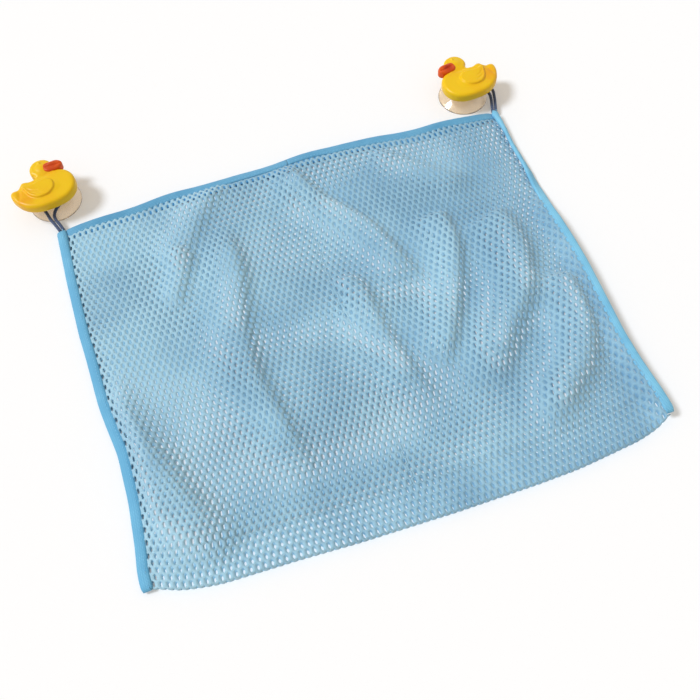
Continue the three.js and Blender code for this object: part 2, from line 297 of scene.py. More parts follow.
# %% Clear soft PVC
clear_pvc, tree, shader = new_material("clear_soft_pvc")
place = add_node(tree, "ShaderNodeTexCoord").outputs["Object"]
ripple = add_node(tree, "ShaderNodeTexNoise", {"Vector": place, "Scale": per_mm(6), "Detail": 1.0})
raised = {"Height": ripple.outputs["Fac"], "Strength": 0.12, "Distance": 0.4 * MM}
flow = add_node(tree, "ShaderNodeBump", raised)
feed(tree, shader, {
    "Base Color": linear("#fcebd2"), "Normal": flow.outputs["Normal"], "Roughness": 0.12,
    "IOR": 1.53, "Transmission Weight": 0.92,
})
print("material:", clear_pvc.name)


# %% Pigmented soft PVC, yellow and orange
def pigmented_pvc(name, plain, warm):
    material, tree, shader = new_material(name)
    place = add_node(tree, "ShaderNodeTexCoord").outputs["Object"]
    blush = add_node(tree, "ShaderNodeAttribute", attribute_name="blush").outputs["Fac"]
    uneven = add_node(
        tree, "ShaderNodeTexNoise", {"Vector": place, "Scale": per_mm(9), "Detail": 2.0}
    )
    patchy = {0: blush, 1: uneven.outputs["Fac"]}
    warmth = add_node(tree, "ShaderNodeMath", patchy, operation="MULTIPLY")
    tint = add_node(tree, "ShaderNodeValToRGB", {"Fac": warmth.outputs["Value"]})
    cool_end, warm_end = tint.color_ramp.elements
    warm_end.position = 0.6
    cool_end.color, warm_end.color = linear(plain), linear(warm)
    mould = add_node(
        tree, "ShaderNodeTexNoise", {"Vector": place, "Scale": per_mm(0.5), "Detail": 2.0}
    )
    raised = {"Height": mould.outputs["Fac"], "Strength": 0.15, "Distance": 0.1 * MM}
    satin = add_node(tree, "ShaderNodeBump", raised)
    feed(tree, shader, {
        "Base Color": tint.outputs["Color"], "Normal": satin.outputs["Normal"], "Roughness": 0.36,
        "Specular IOR Level": 0.3, "Subsurface Weight": 0.15,
        "Subsurface Radius": (1.0, 0.5, 0.15), "Subsurface Scale": 2 * MM,
    })
    print("material:", name)
    return material


duck_pvc = pigmented_pvc("yellow_soft_pvc", "#f1c407", "#eda006")
beak_pvc = pigmented_pvc("orange_soft_pvc", "#e05a0c", "#b83008")

# %% [markdown]
# ## Making a piece
#
# Every piece ends the same way: the finished bmesh becomes a mesh, is shaded smooth, gets its
# material, and is linked at the origin, with its place in its vertices.


# %% Helper that turns a bmesh into a piece
def make_piece(name, bm, material):
    mesh = bpy.data.meshes.new(name)
    bm.to_mesh(mesh)
    bm.free()
    mesh.shade_smooth()
    mesh.materials.append(material)
    piece = bpy.data.objects.new(name, mesh)
    bpy.context.scene.collection.objects.link(piece)
    print(f"{name}: {len(mesh.polygons)} faces")
    return piece


def smoothstep(low, high, value):
    share = np.clip((value - low) / (high - low), 0, 1)
    return share * share * (3 - 2 * share)


# %% [markdown]
# ## Cord loops
#
# Each loop is one length of 3 mm elastic, sewn into the corner by both ends. It leaves the
# corner as two strands side by side, rises over the cup's rim and lies round the neck of the
# cup. A Bezier curve with automatic handles gives a smooth line through the route's points. A
# ring is then extruded along that line, which leaves a tube whose rings can carry the braid.

# %% The routes, from each loop's root, in millimetres
CORD_RADIUS = 1.5
LOOP_ROUTES = {
    "left": [
        (1.7, 0, 5.5), (-0.9, 8, 6.4), (-3.6, 15.5, 7.4), (-2.2, 22, 8.4), (3.3, 27.5, 10),
        (9.5, 33, 10.8), (12.8, 40.5, 10.8), (11.2, 48.5, 10.7), (5.5, 54.2, 10.6),
        (-2.2, 55.2, 10.6), (-9.5, 51.5, 10.6), (-13.4, 44.5, 10.6), (-13.6, 36.5, 10.3),
        (-11.8, 29, 9.2), (-9.6, 22, 8.3), (-7.8, 15.5, 7.4), (-4.7, 8, 6.4), (-1.7, 0, 5.5),
    ],
    "right": [
        (1.7, 0, 5.5), (4.8, 9, 6.2), (7.6, 18, 6.8), (9.2, 27.2, 7.2), (6.2, 35.7, 7.5),
        (-1.5, 41, 8.3), (-10, 43.3, 10.8), (-18.5, 44.5, 11.6), (-27, 41.8, 11.6),
        (-30, 34.5, 11.6), (-27, 27.3, 11.6), (-19.5, 24.8, 11.6), (-12.5, 26.7, 11.2),
        (-7, 29.3, 9.8), (-1.8, 30, 8.3), (2.6, 27.5, 7.5), (4.2, 22.2, 7.1), (3.2, 16, 6.7),
        (0.9, 8.5, 6.2), (-1.7, 0, 5.5),
    ],
}


# %% Smooth line through a route
def smooth_line(points, steps):
    """Points along a Bezier curve that passes through the given ones."""
    curve = bpy.data.curves.new("route", "CURVE")
    curve.dimensions = "3D"
    curve.resolution_u = steps
    spline = curve.splines.new("BEZIER")
    spline.bezier_points.add(len(points) - 1)
    for knot, point in zip(spline.bezier_points, points):
        knot.co = point
        knot.handle_left_type = knot.handle_right_type = "AUTO"
    holder = bpy.data.objects.new("route", curve)
    line = [v.co.copy() for v in holder.to_mesh().vertices]
    bpy.data.objects.remove(holder)
    bpy.data.curves.remove(curve)
    return line


def flat_line(knots, steps):
    """The x and y of points along a smooth line through knots in the plane."""
    return np.array([point[:2] for point in smooth_line([(*knot, 0) for knot in knots], steps)])


# %% Braided tube along a line
BRAID_STRANDS = 4
BRAID_PITCH = 13
BRAID_RELIEF = 0.12
CORD_SIDES = 20


def ring_order(fresh, ring):
    """The new ring's vertices, in the order of the ring that they were extruded from."""
    fresh = set(fresh)
    return [next(e.other_vert(v) for e in v.link_edges if e.other_vert(v) in fresh) for v in ring]


def braided_cord(name, line):
    bm = bmesh.new()
    height = bm.verts.layers.float.new("braid")
    heading = (line[1] - line[0]).normalized()
    facing = heading.to_track_quat("Z", "Y")
    run = 0.0
    disc = bmesh.ops.create_circle(bm, cap_ends=True, segments=CORD_SIDES, radius=CORD_RADIUS * MM)
    ring = disc["verts"]
    edges = [e for e in bm.edges if e.is_boundary]
    for n, point in enumerate(line):
        if n > 0:
            run += (point - line[n - 1]).length / MM
            after = (line[min(n + 1, len(line) - 1)] - line[n - 1]).normalized()
            facing = heading.rotation_difference(after) @ facing
            heading = after
            grown = bmesh.ops.extrude_edge_only(bm, edges=edges)["geom"]
            edges = [g for g in grown if isinstance(g, bmesh.types.BMEdge) and g.is_boundary]
            ring = ring_order([g for g in grown if isinstance(g, bmesh.types.BMVert)], ring)
        climb = 2 * math.pi * run / BRAID_PITCH
        for k, vert in enumerate(ring):
            angle = 2 * math.pi * k / CORD_SIDES
            over = max(math.sin(BRAID_STRANDS * (angle + way)) for way in (climb, -climb))
            vert[height] = 0.5 + 0.5 * over
            radius = (CORD_RADIUS + BRAID_RELIEF * (over - 0.5)) * MM
            vert.co = point + facing @ (Vector((math.cos(angle), math.sin(angle), 0)) * radius)
    bmesh.ops.holes_fill(bm, edges=[e for e in bm.edges if e.is_boundary])
    bmesh.ops.recalc_face_normals(bm, faces=bm.faces)
    return make_piece(name, bm, braid_cover)


# %% Both loops
ROUTE_STEPS = 14
for side, route in LOOP_ROUTES.items():
    root = joint_place[side + "_loop_fold"].copy()
    root.z = 0
    line = smooth_line([root + Vector(point) * MM for point in route], ROUTE_STEPS)
    loop = braided_cord(side + "_cord", line)
    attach(loop, side + "_loop")
    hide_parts(side + "_loop")

# %% [markdown]
# ## The outline of the bag
#
# The bag isn't a true rectangle: its sides are drawn in where the binding puckers the net, and
# its bottom hangs lower in the middle, where nothing holds it. Each edge is a few measured
# points, in millimetres from the bag's middle, joined by a line that is smoothed by averaging.

# %% Edges of the bag, in millimetres
BOTTOM_EDGE = [
    (-230, -172), (-211, -179), (-197, -185), (-182, -188), (-167, -190.5), (-103, -192.5),
    (-56, -195), (26, -197), (95, -197), (130, -196), (150, -194), (187, -190), (208, -184.5),
    (230, -173),
]
MOUTH_EDGE = [
    (-230, 177.5), (-205, 177), (-147, 179), (-107, 182), (-47, 184), (14, 186), (56, 186),
    (96, 183), (136, 178.5), (201, 177), (230, 177),
]
LEFT_EDGE = [
    (-178, -225), (-163, -225.5), (-145, -223), (-105, -220), (-62, -220), (-38, -223.5),
    (-14, -226.5), (34, -228), (59, -229.5), (120, -230), (178, -229),
]
RIGHT_EDGE = [
    (-178, 225), (-165, 223.5), (-150, 221.5), (-126, 219.5), (-100, 218.5), (-76, 219.5),
    (-50, 220.5), (-23, 221.5), (6, 221), (20, 220), (43, 219), (67, 221.5), (97, 222),
    (130, 220.5), (155, 221.5), (178, 221),
]
AVERAGED_OVER = 24
EDGE_STEP = 2
EDGE_BEYOND = 60


def edge_line(points):
    """A function that gives the edge's place for any position along it."""
    along, place = np.array(points, float).T
    spots = np.arange(along[0] - EDGE_BEYOND, along[-1] + EDGE_BEYOND + 1, EDGE_STEP)
    kernel = np.hanning(AVERAGED_OVER // EDGE_STEP + 2)
    padded = np.pad(np.interp(spots, along, place), len(kernel), mode="edge")
    even = np.convolve(padded, kernel / kernel.sum(), mode="same")[len(kernel) : -len(kernel)]
    return lambda at: np.interp(at, spots, even)


bottom_at, mouth_at = edge_line(BOTTOM_EDGE), edge_line(MOUTH_EDGE)
left_at, right_at = edge_line(LEFT_EDGE), edge_line(RIGHT_EDGE)
print("the bottom hangs", round(float(-175 - bottom_at(40))), "mm below the corners")

# %% [markdown]
# ## The lie of the front
#
# The front of the bag stands a little off the back, and soft folds run across it. A fold in
# laid cloth has a long gentle side and a short steep one. Here the steep side faces right, away
# from the light, and shows as a dark line in the photograph. So each fold is given by the line
# of its dark side from top to bottom, its height, and the widths of its two sides.

# %% Folds of the front net, in millimetres
FOLDS = [
    (12, 10, 26, [
        (-77, 140), (-73, 103), (-73, 72), (-80, 39), (-86, 2), (-87, -33), (-82, -63),
        (-72, -118), (-66, -150),
    ]),
    (8, 10, 24, [
        (-60, 180), (-66, 172), (-82, 155), (-98, 132), (-112, 112), (-125, 96), (-140, 84),
    ]),
    (8, 8, 16, [(-108, 104), (-115, 96), (-125, 77), (-132, 64), (-143, 48)]),
    (15, 8, 22, [
        (-4, 194), (3, 170), (14, 138), (27, 117), (41, 99), (53, 80), (60, 61), (66, 43),
        (74, 23), (82, -4),
    ]),
    (11, 9, 22, [
        (-10, 30), (6, 34), (19, 28), (25, 12), (26, -7), (28, -31), (34, -60), (42, -89),
        (52, -122),
    ]),
    (14, 8, 22, [
        (120, 78), (120, 68), (120, 37), (112, 8), (100, -19), (87, -44), (72, -67), (55, -90),
    ]),
    (18, 13, 26, [
        (170, 66), (173, 54), (177, 17), (171, -13), (159, -40), (141, -61), (124, -79),
        (112, -97), (106, -122),
    ]),
    (18, 14, 24, [
        (205, -22), (203, -34), (201, -68), (192, -96), (177, -120), (157, -137), (137, -152),
        (112, -168),
    ]),
    (17, 18, 30, [
        (-217, 26), (-204, -22), (-191, -57), (-177, -90), (-164, -121), (-150, -147),
        (-134, -172),
    ]),
    (7, 8, 18, [(80, 174), (103, 152), (123, 132), (143, 116), (168, 104)]),
]
FOLD_STEPS = 10
CREST_BEFORE = 0.75  # how far the crest is before the dark line, in widths of the steep side


def fold_height(x, y, height, steep, gentle, knots):
    """How far one fold lifts the cloth at these places."""
    line = flat_line(knots, FOLD_STEPS)
    way = np.gradient(line, axis=0)
    away = np.hypot(x[:, None] - line[:, 0], y[:, None] - line[:, 1])
    near = away.argmin(axis=1)
    to_right = way[near, 0] * (y - line[near, 1]) - way[near, 1] * (x - line[near, 0])
    past_crest = np.sign(to_right) * away.min(axis=1) + CREST_BEFORE * steep
    width = np.where(past_crest > 0, steep, gentle)
    run = near / (len(line) - 1)
    taper = smoothstep(0, 0.2, run) * smoothstep(1, 0.75, run)
    return height * taper * np.exp(-((past_crest / width) ** 2))


# %% Height of the front net above the back net
TUCK = 5  # from the bag's outline in to the raw edge of the net
NET_LOW = 0.8  # from the floor up to the back net
PINCHED = 1.8  # between the layers at the bindings
PUFF = 8.2  # between the layers in the middle of the bag
FOLD_GAP = 6.6  # between the layers at the bottom
GAP_RUN = 11  # over which the gap opens from the bindings
CURL = 11.0  # lift of the right side
CURL_RUN = 17  # over which the right side rises


def right_curl(x, y):
    """How far the right side of both layers is lifted off the floor, from below the mouth down."""
    raised = smoothstep(85, 25, y) * smoothstep(-210, -150, y)
    return CURL * raised * smoothstep(CURL_RUN, 0, right_at(y) - TUCK - x)


def inside_bindings(x, y):
    """How far a place lies inside the nearer side of the net."""
    return np.minimum(x - left_at(y) - TUCK, right_at(y) - TUCK - x)


def bag_gap(x, y):
    """The clear height between the two layers of net, without the folds."""
    puff = FOLD_GAP + (PUFF - FOLD_GAP) * smoothstep(-190, -140, y)
    opened = 1 - np.exp(-np.clip(inside_bindings(x, y), 0, None) / GAP_RUN)
    return PINCHED + (puff - PINCHED) * opened


def front_height(x, y):
    """The height of the front net, with its folds, its small waves and the pucker at the seams."""
    inside = inside_bindings(x, y)
    ends = np.minimum(y - bottom_at(x), mouth_at(x) - y)
    lift = sum(fold_height(x, y, *fold) for fold in FOLDS)
    waves = 0.9 * np.sin(x / 31 + 1.3) * np.cos(y / 37 + 0.4) + 0.7 * np.sin((x + 0.6 * y) / 19)
    pucker = 0.8 * np.sin(y / 2.6 + np.sin(y / 17) * 2) * np.exp(-inside / 14)
    free = smoothstep(2, 22, inside) * smoothstep(2, 22, ends)
    held = smoothstep(1, 8, inside) * smoothstep(2, 20, ends)
    return NET_LOW + bag_gap(x, y) + right_curl(x, y) + free * (lift + waves) + held * pucker


# %% [markdown]
# ## The net
#
# Knitted bath net has tall hexagonal holes in staggered rows. It is made flat, as on the loom:
# a grid whose every second upright edge is dissolved becomes a brick wall, moving its points up
# and down by turns makes the bricks hexagons, and an inset of each face leaves the strands. The
# upright strands carry two yarns, so each hole is narrowed.
# The inner faces are then deleted, and a Solidify modifier gives the strands their thickness,
# most along their middle and little at the holes, so that they look round as yarn does.
# One cloth makes the whole bag, so the pieces share its rows and columns and meet exactly.

# %% Flat net, cut from the cloth by columns and rows
CELL_ACROSS = 5.65
CELL_ALONG = 5.87
STRAND = 1.8
NARROWED = 0.52
NET_COLUMNS = 78
FRONT_ROWS = 59
TURN_ROWS = 11
CLOTH_WIDTH = NET_COLUMNS * CELL_ACROSS


def flat_net(columns, rows):
    """Hexagon net between these columns and rows. Its x and y are millimetres of cloth."""
    first, last = 2 * columns[0], 2 * columns[1] + (columns[1] < NET_COLUMNS)
    steps, lines = last - first, rows[1] - rows[0]
    bm = bmesh.new()
    weight = bm.verts.layers.deform.verify()
    bmesh.ops.create_grid(bm, x_segments=steps, y_segments=lines, size=0.5)
    number = {}
    for vert in bm.verts:
        column, row = round((vert.co.x + 0.5) * steps), round((vert.co.y + 0.5) * lines)
        number[vert] = (first + column, rows[0] + row)
    spare = []
    for edge in bm.edges:
        (i, j), (k, m) = number[edge.verts[0]], number[edge.verts[1]]
        if i == k and (i + min(j, m)) % 2 and not edge.is_boundary:
            spare.append(edge)
    for vert, (i, j) in number.items():
        lift = CELL_ALONG / 6 if (i + j) % 2 == 0 else -CELL_ALONG / 6
        vert.co = (i * CELL_ACROSS / 2, j * CELL_ALONG + lift, 0)
    bmesh.ops.dissolve_edges(bm, edges=spare, use_verts=False, use_face_split=False)
    halves = [f for f in bm.faces if f.calc_area() < 0.75 * CELL_ACROSS * CELL_ALONG]
    bmesh.ops.delete(bm, geom=halves, context="FACES")
    holes, middles = list(bm.faces), list(bm.verts)
    bmesh.ops.inset_individual(bm, faces=holes, thickness=STRAND / 2, use_even_offset=True)
    for hole in holes:
        middle = hole.calc_center_median().x
        for vert in hole.verts:
            vert.co.x = middle + NARROWED * (vert.co.x - middle)
    bmesh.ops.delete(bm, geom=holes, context="FACES_ONLY")
    for vert in middles:
        vert[weight][0] = 1.0
    return bm


# %% Where the flat cloth goes on the bag
HEM_TUCK = 4.0
TURN_RADIUS = 3.2
FRONT_RUN = 0.926
HALF_HEIGHT = 175
FRONT_LENGTH = FRONT_ROWS * CELL_ALONG
# How far the back has drifted aside and along, and the wave and the start of each drift.
DRIFT_ASIDE = (9.5, 110.5, 1.53)
DRIFT_ALONG = (5.9, 85.4, 2.87)


def plan_place(share, run):
    """A place in plan: share runs across the bag, run from the mouth (0) to the bottom (1)."""
    level = HALF_HEIGHT - 2 * HALF_HEIGHT * run
    x = (left_at(level) + TUCK) * (1 - share) + (right_at(level) - TUCK) * share
    y = (mouth_at(x) - HEM_TUCK) * (1 - run) + (bottom_at(x) + TURN_RADIUS) * run
    return x, y


def front_cloth(u, v):
    x, y = plan_place(u / CLOTH_WIDTH, FRONT_RUN * v / FRONT_LENGTH)
    return np.stack([x, y, front_height(x, y)], axis=1)


def drift(at, size, wave, start):
    return size * np.sin(at / wave + start)


def back_cloth(u, v):
    """The back lies a little askew, so its holes meet those of the front only in patches."""
    slack = np.sin(math.pi * u / CLOTH_WIDTH) * np.sin(math.pi * v / FRONT_LENGTH)
    aside = u + slack * drift(v, *DRIFT_ASIDE)
    along = v + slack * drift(u, *DRIFT_ALONG)
    x, y = plan_place(aside / CLOTH_WIDTH, FRONT_RUN * (1 - along / FRONT_LENGTH))
    return np.stack([x, y, NET_LOW + right_curl(x, y)], axis=1)


def turned_cloth(u, v):
    """The last rows of the front, the bend at the bottom and the first rows of the back."""
    share = u / CLOTH_WIDTH
    zero = np.zeros(u.shape)
    _, start = plan_place(share, zero + FRONT_RUN)
    x_end, end = plan_place(share, zero + 1)
    drop = start - end
    bend = math.pi * TURN_RADIUS
    way = v / (TURN_ROWS * CELL_ALONG) * (2 * drop + bend)
    angle = np.clip((way - drop) / bend, 0, 1) * math.pi
    back_way = np.clip(way - drop - bend, 0, None)
    run = np.where(way < drop, way / drop, np.where(back_way > 0, 1 - back_way / drop, 1))
    x, y = plan_place(share, FRONT_RUN + (1 - FRONT_RUN) * run)
    top = front_height(x, y)
    low = NET_LOW + right_curl(x, y)
    half = (front_height(x_end, end) - low) / 2
    z = np.where(way < drop, top, low + half * (1 + np.cos(angle)))
    return np.stack([x, y - TURN_RADIUS * np.sin(angle), z], axis=1)


# %% Lay the net on the bag
NET_THICKNESS = 1.1
THIN_AT_HOLES = 0.2


def lay_net(name, columns, rows, cloth):
    bm = flat_net(columns, rows)
    bm.verts.ensure_lookup_table()
    flat = np.array([(v.co.x, v.co.y) for v in bm.verts])
    laid = cloth(flat[:, 0], flat[:, 1] - rows[0] * CELL_ALONG)
    for vert, (x, y, z) in zip(bm.verts, laid):
        vert.co = on_bag(x, y, z)
    bmesh.ops.recalc_face_normals(bm, faces=bm.faces)
    piece = make_piece(name, bm, net_yarn)
    thick = piece.modifiers.new("strand_thickness", "SOLIDIFY")
    thick.thickness = NET_THICKNESS * MM
    thick.offset = 0
    thick.vertex_group = piece.vertex_groups.new(name="yarn_middle").name
    thick.thickness_vertex_group = THIN_AT_HOLES
    return piece


left_half, right_half = (0, NET_COLUMNS // 2), (NET_COLUMNS // 2, NET_COLUMNS)
front_rows = (0, FRONT_ROWS)
turn_rows = (FRONT_ROWS, FRONT_ROWS + TURN_ROWS)
back_rows = (turn_rows[1], turn_rows[1] + FRONT_ROWS)
front_left = lay_net("front_net_left", left_half, front_rows, front_cloth)
front_right = lay_net("front_net_right", right_half, front_rows, front_cloth)
bottom_turn = lay_net("bottom_turn", (0, NET_COLUMNS), turn_rows, turned_cloth)
back_left = lay_net("back_net_left", left_half, back_rows, back_cloth)
back_right = lay_net("back_net_right", right_half, back_rows, back_cloth)

# %% [markdown]
# ## Tapes
#
# A binding is a tape folded lengthwise over the raw edge of the net and sewn through. Its
# section is a flattened loop, thin where it grips the net. A grid is rolled into that loop and
# laid along the edge, which also gives the tape a UV map with u along it. The sewing draws the
# tape in a little at every few stitches, so its thickness ripples.


# %% A folded tape along a line
TAPE_SIDES = 20
TAPE_STEP = 2.4
END_ROUND = 4  # over which a tape closes at its ends


def folded_tape(
    name, material, place, lie, half_width, half_thickness, span, round_ends=(True, True)
):
    """A tape along span, in millimetres. place, lie and half_thickness depend on the run along it.

    lie gives the tape's two directions in its section: along its width and along its thickness.
    """
    start, end = span
    length = abs(end - start)
    bm = bmesh.new()
    weave_map = bm.loops.layers.uv.new("UVMap")
    bmesh.ops.create_grid(
        bm, x_segments=int(length / TAPE_STEP), y_segments=TAPE_SIDES, size=0.5, calc_uvs=True
    )
    for face in bm.faces:
        for corner in face.loops:
            corner[weave_map].uv.x = (start + (end - start) * corner[weave_map].uv.x) / TAPE_LENGTH
    for vert in bm.verts:
        run, angle = start + (end - start) * (vert.co.x + 0.5), (vert.co.y + 0.5) * 2 * math.pi
        ripple = 1 + 0.07 * math.sin(run * 0.55) + 0.05 * math.sin(run * 0.21 + 1)
        ends = [abs(run - tip) for tip, rounded in zip(span, round_ends) if rounded]
        close = math.sqrt(min(1.0, max(0.03, min(ends) / END_ROUND)))
        flat = math.copysign(abs(math.cos(angle)) ** 0.8, math.cos(angle)) * half_width
        thick = math.copysign(abs(math.sin(angle)) ** 0.7, math.sin(angle)) * half_thickness(run)
        wide, high = lie(run)
        aside, above = wide * flat * (0.7 + 0.3 * close), high * thick * close * ripple
        vert.co = place(run) + (aside + above) * MM
    bmesh.ops.remove_doubles(bm, verts=bm.verts, dist=0.01 * MM)
    bmesh.ops.holes_fill(bm, edges=[e for e in bm.edges if e.is_boundary])
    bmesh.ops.recalc_face_normals(bm, faces=bm.faces)
    piece = make_piece(name, bm, material)
    return piece


# %% Side bindings
BINDING_SPAN = (177.0, -177.5)
BINDING_CLEAR = 0.6  # from the floor up to a binding that lies on it
LIFTED_SHARE = 0.9  # how much of the net's lift the right binding follows
# Each tilt is (place along the side, degrees that the outer edge leans down). The left binding
# lies nearly flat. The right one is rolled under near the mouth, and below that it is lifted off
# the floor, with its outer edge a little raised.
LEFT_TILT = [(-175, 10), (0, 14), (175, 12)]
RIGHT_TILT = [(-175, -8), (45, -10), (105, 52), (175, 66)]
LEFT_HALF, RIGHT_HALF = 4.75, 4.0  # half the width of each binding


def binding_thickness(y):
    """Half the binding's thickness: it is fullest at the mouth, where the hems are sewn in."""
    return 2.0 + 1.6 * float(smoothstep(145, 177, y)) + 0.4 * float(smoothstep(-160, -176, y))


def binding_lie(outward, tilts):
    def directions(y):
        lean = math.radians(np.interp(y, *zip(*tilts)))
        wide = Vector((outward * math.cos(lean), 0, -math.sin(lean)))
        return wide, Vector((outward * math.sin(lean), 0, math.cos(lean)))

    return directions


def binding_place(edge, outward, lie, half):
    """Where a binding's middle line runs. The right one is lifted with the net that it holds."""

    def place(y):
        wide, high = lie(y)
        rise = half * abs(wide.z) + binding_thickness(y) * high.z
        reach = half * abs(wide.x) + binding_thickness(y) * abs(high.x)
        x = float(edge(y)) - outward * reach
        return on_bag(x, y, rise + BINDING_CLEAR + LIFTED_SHARE * float(right_curl(x, y)))

    return place


bindings = {}
for side, edge, outward, tilts, half in (
    ("left", left_at, -1, LEFT_TILT, LEFT_HALF),
    ("right", right_at, 1, RIGHT_TILT, RIGHT_HALF),
):
    lie = binding_lie(outward, tilts)
    place = binding_place(edge, outward, lie, half)
    tape = folded_tape(
        side + "_binding_tape", binding_weave, place, lie, half, binding_thickness, BINDING_SPAN
    )
    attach(tape, "bag")
    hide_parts(side + "_binding")
    bindings[side] = (place, lie)

# %% Hems of the mouth
HEM_HALF = 4.3
HEM_THICK = 1.2
HEM_CLEAR = 0.7  # from the floor up to the back hem
HEM_LEFT, HEM_RIGHT = -222, 216


def hem_wander(x):
    """A hem is never quite straight: it wanders by a millimetre or so."""
    return 0.9 * math.sin(x / 23 + 0.5) + 0.6 * math.sin(x / 11)


def front_hem_place(x):
    y = float(mouth_at(x)) - HEM_HALF + hem_wander(x)
    z = float(front_height(np.array([x]), np.array([y]))[0])
    return on_bag(x, y, z)


def back_hem_place(x):
    y = float(mouth_at(x)) - HEM_HALF - hem_wander(x + 40)
    return on_bag(x, y, HEM_THICK + HEM_CLEAR)


def hem_lie(x):
    lean = math.radians(14 * math.sin(x / 47 + 2))
    return Vector((0, math.cos(lean), -math.sin(lean))), Vector((0, math.sin(lean), math.cos(lean)))


def hem_thickness(x):
    return HEM_THICK


def hem_tape(name, place, start, end, round_ends):
    span = (start, end)
    return folded_tape(name, hem_weave, place, hem_lie, HEM_HALF, hem_thickness, span, round_ends)


back_hem = hem_tape("back_hem_tape", back_hem_place, HEM_LEFT, HEM_RIGHT, (True, True))
front_hem_left = hem_tape("front_hem_left", front_hem_place, HEM_LEFT, 0, (True, False))
front_hem_right = hem_tape("front_hem_right", front_hem_place, 0, HEM_RIGHT, (False, True))

# %% [markdown]
# ## Stitches
#
# A lockstitch shows as a row of short raised threads with a dimple between them. It could be one
# cord that dives in and out, but only its tops are seen. So each stitch is a small stretched ball
# of two dozen faces, set along the seam at its real spacing.

# %% A row of stitches
STITCH_PITCH = 3.2
STITCH_RADII = (1.25, 0.38, 0.3)
SEAM_INSET = 2.3


def stitch_row(name, place, span):
    bm = bmesh.new()
    count = int(abs(span[1] - span[0]) / STITCH_PITCH)
    for n in range(count):
        run = span[0] + (span[1] - span[0]) * (n + 0.5) / count
        ahead = place(run + 0.5) - place(run - 0.5)
        stand = Matrix.Translation(place(run)) @ ahead.to_track_quat("X", "Z").to_matrix().to_4x4()
        size = Matrix.Diagonal((*(r * MM for r in STITCH_RADII), 1))
        bmesh.ops.create_uvsphere(bm, u_segments=6, v_segments=4, radius=1, matrix=stand @ size)
    piece = make_piece(name, bm, seam_thread)
    return piece


def seam(place, lie, inset, thickness):
    """Where a seam lies on a tape: inset from its middle line, on top of its thickness."""

    def spot(run):
        wide, high = lie(run)
        return place(run) + (high * 0.9 * thickness(run) - wide * inset) * MM

    return spot


for side, (place, lie) in bindings.items():
    side_seam = seam(place, lie, SEAM_INSET, binding_thickness)
    row = stitch_row(side + "_binding_stitches", side_seam, BINDING_SPAN)
    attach(row, "bag")
hem_seam = seam(front_hem_place, hem_lie, SEAM_INSET, hem_thickness)
hem_stitches_left = stitch_row("hem_stitches_left", hem_seam, (HEM_LEFT, 0))
hem_stitches_right = stitch_row("hem_stitches_right", hem_seam, (0, HEM_RIGHT))

# %% [markdown]
# ## How the bag moves
#
# The sides of the bag are sewn together, so when the mouth opens only the middle of the front
# bows out. The front is made in two halves that meet in the middle. The halves, their hems and
# their stitches keep their place baked into their vertices, and the turn, the back and the back
# hem follow the bag.

for sign, pieces in (
    (-1, (front_left, front_hem_left, hem_stitches_left)),
    (1, (front_right, front_hem_right, hem_stitches_right)),
):
    for piece in pieces:
        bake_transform(piece)
for piece in (bottom_turn, back_left, back_right, back_hem):
    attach(piece, "bag")
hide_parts("front_net")
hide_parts("front_net")
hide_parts("front_hem")
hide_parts("front_hem")
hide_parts("net_fold")
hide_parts("back_net")
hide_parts("back_net")
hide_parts("back_hem")

# %% [markdown]
# ## Suction cups
#
# A cup is turned about its axis: a thin dome with a flat lip, a neck that the loop lies round,
# and a mushroom stem that the duck snaps on. It could be joined from a dome and a cylinder, but
# a clear piece shows every joint inside it. So half its section is drawn as a line of points and
# spun once round, with use_merge so that the seam closes.

# %% Half section of the cup, in millimetres from its axis
CUP_SECTION = [
    (0, 7.2), (4, 7.25), (9, 6.6), (14, 5.0), (18.5, 2.9), (22, 0.7), (22.9, 0.1), (23.6, 0),
    (24.6, 0), (25.0, 0.25), (24.95, 0.7), (24.3, 1.25), (22, 2.9), (18.5, 5.3), (14.5, 7.7),
    (11, 9.2), (8, 9.95), (6.4, 10.2), (5.4, 10.7), (5.0, 11.6), (5.0, 14.7), (4.9, 15.2),
    (4.5, 15.5), (3.3, 15.55), (3.0, 15.9), (3.0, 20.2), (3.4, 20.5), (4.3, 20.5), (4.6, 20.9),
    (4.3, 22.4), (3.2, 23.5), (1.6, 23.85), (0, 23.9),
]
CUP_SIDES = 48


def turned_cup(name, axis):
    bm = bmesh.new()
    last = None
    for radius, height in CUP_SECTION:
        vert = bm.verts.new((axis.x + radius * MM, axis.y, height * MM))
        if last is not None:
            bm.edges.new((last, vert))
        last = vert
    bmesh.ops.spin(
        bm, geom=bm.verts[:] + bm.edges[:], cent=(axis.x, axis.y, 0), axis=(0, 0, 1),
        angle=2 * math.pi, steps=CUP_SIDES, use_merge=True,
    )
    bmesh.ops.remove_doubles(bm, verts=bm.verts, dist=0.01 * MM)
    bmesh.ops.recalc_face_normals(bm, faces=bm.faces)
    piece = make_piece(name, bm, clear_pvc)
    rounding = piece.modifiers.new("rounding", "SUBSURF")
    rounding.levels = rounding.render_levels = 2
    return piece


# %% [markdown]
# ## Ducks
#
# The duck is a puffy plate with a flat back, moulded in one: a round head, a plump body, a wing
# that stands a little proud and a turned-up tail. A flat curve, filled, extruded and bevelled,
# is the plate, and low balls crown it. The Remesh modifier fuses them into one skin, which is
# relaxed by averaging. The wing goes in after the first relaxing, so its edge stays crisp.


